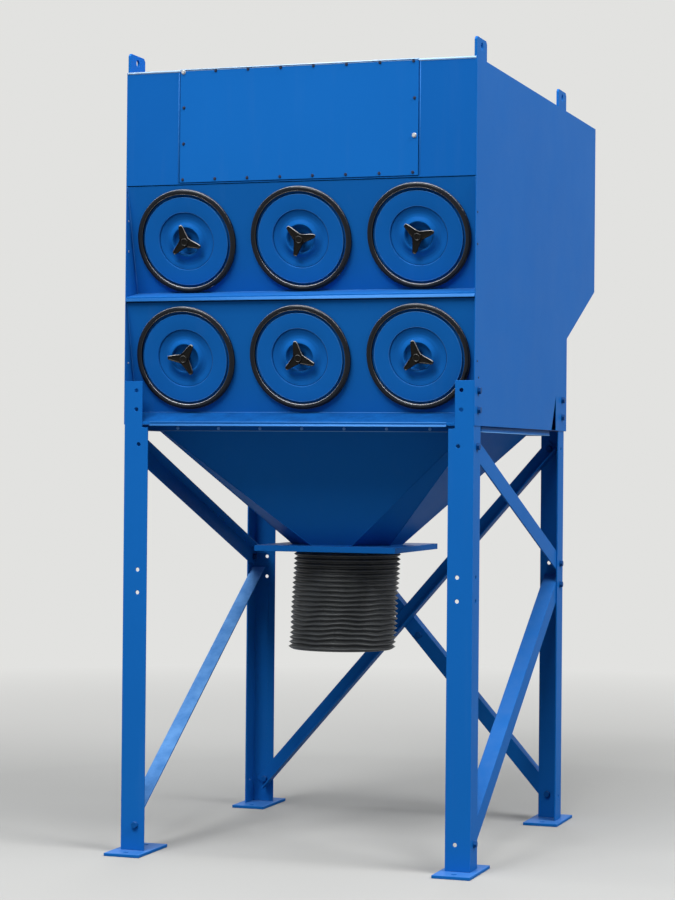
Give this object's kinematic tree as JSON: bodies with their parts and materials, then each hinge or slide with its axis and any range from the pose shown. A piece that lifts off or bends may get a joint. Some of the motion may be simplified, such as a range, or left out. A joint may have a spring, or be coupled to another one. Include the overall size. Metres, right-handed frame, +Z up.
{
  "type": "cartridge dust collector",
  "caption": "Free-standing blue cartridge dust collector: sheet-steel cabinet with round knobbed access covers over a hopper and drop hose, on braced angle legs.",
  "frame": {"origin": "centre of the bounding box at floor level, under the feet", "axes": "+X to the right seen from the front, +Y towards the rear, +Z up; the covers face -Y"},
  "size_m": [1.52, 2.184, 3.2349],
  "materials": {
    "blue_paint": "semi-gloss",
    "black_rubber": "matte",
    "hose_rubber": "satin",
    "knob_plastic": "satin",
    "zinc_steel": "satin"
  },
  "bodies": {
    "stand": {"side_panel_left": "blue_paint", "side_panel_right": "blue_paint", "roof_panel": "blue_paint", "front_band": "blue_paint", "front_access_panel": "blue_paint", "cover_panel_upper": "blue_paint", "cover_panel_lower": "blue_paint", "rear_wall_upper": "blue_paint", "rear_slope_panel": "blue_paint", "rear_wall_lower": "blue_paint", "cabinet_floor": "blue_paint", "lifting_lugs": "blue_paint", "hopper_top_flange": "blue_paint", "hopper_front": "blue_paint", "hopper_right": "blue_paint", "hopper_rear": "blue_paint", "hopper_left": "blue_paint", "hopper_corners": "blue_paint", "outlet_flange": "blue_paint", "outlet_collar": "blue_paint", "drop_hose": "hose_rubber", "hose_clamp": "zinc_steel", "leg_front_left": "blue_paint", "leg_front_right": "blue_paint", "leg_rear_left": "blue_paint", "leg_rear_right": "blue_paint", "foot_plates": "blue_paint", "brace_left_upper": "blue_paint", "brace_left_lower": "blue_paint", "brace_right_upper": "blue_paint", "brace_right_lower": "blue_paint", "cross_brace_inner": "blue_paint", "cross_brace_outer": "blue_paint", "cover_gaskets": "black_rubber", "cover_studs": "zinc_steel", "cover_upper_left": "blue_paint", "cover_upper_middle": "blue_paint", "cover_upper_right": "blue_paint", "cover_lower_left": "blue_paint", "cover_lower_middle": "blue_paint", "cover_lower_right": "blue_paint"},
    "hand_knob_upper_left": {"knob_upper_left": "knob_plastic"},
    "hand_knob_upper_middle": {"knob_upper_middle": "knob_plastic"},
    "hand_knob_upper_right": {"knob_upper_right": "knob_plastic"},
    "hand_knob_lower_left": {"knob_lower_left": "knob_plastic"},
    "hand_knob_lower_middle": {"knob_lower_middle": "knob_plastic"},
    "hand_knob_lower_right": {"knob_lower_right": "knob_plastic"}
  },
  "joints": [
    {"name": "knob_upper_left_turn", "type": "hinge", "parent": "stand", "child": "hand_knob_upper_left", "pos_m": [-0.49, -0.92593, 2.47416], "axis": [0, -0.9651, -0.2618], "continuous": true},
    {"name": "knob_upper_middle_turn", "type": "hinge", "parent": "stand", "child": "hand_knob_upper_middle", "pos_m": [0, -0.92593, 2.47416], "axis": [0, -0.9651, -0.2618], "continuous": true},
    {"name": "knob_upper_right_turn", "type": "hinge", "parent": "stand", "child": "hand_knob_upper_right", "pos_m": [0.49, -0.92593, 2.47416], "axis": [0, -0.9651, -0.2618], "continuous": true},
    {"name": "knob_lower_left_turn", "type": "hinge", "parent": "stand", "child": "hand_knob_lower_left", "pos_m": [-0.49, -0.92421, 2.00202], "axis": [0, -0.971, -0.2392], "continuous": true},
    {"name": "knob_lower_middle_turn", "type": "hinge", "parent": "stand", "child": "hand_knob_lower_middle", "pos_m": [0, -0.92421, 2.00202], "axis": [0, -0.971, -0.2392], "continuous": true},
    {"name": "knob_lower_right_turn", "type": "hinge", "parent": "stand", "child": "hand_knob_lower_right", "pos_m": [0.49, -0.92421, 2.00202], "axis": [0, -0.971, -0.2392], "continuous": true}
  ]
}
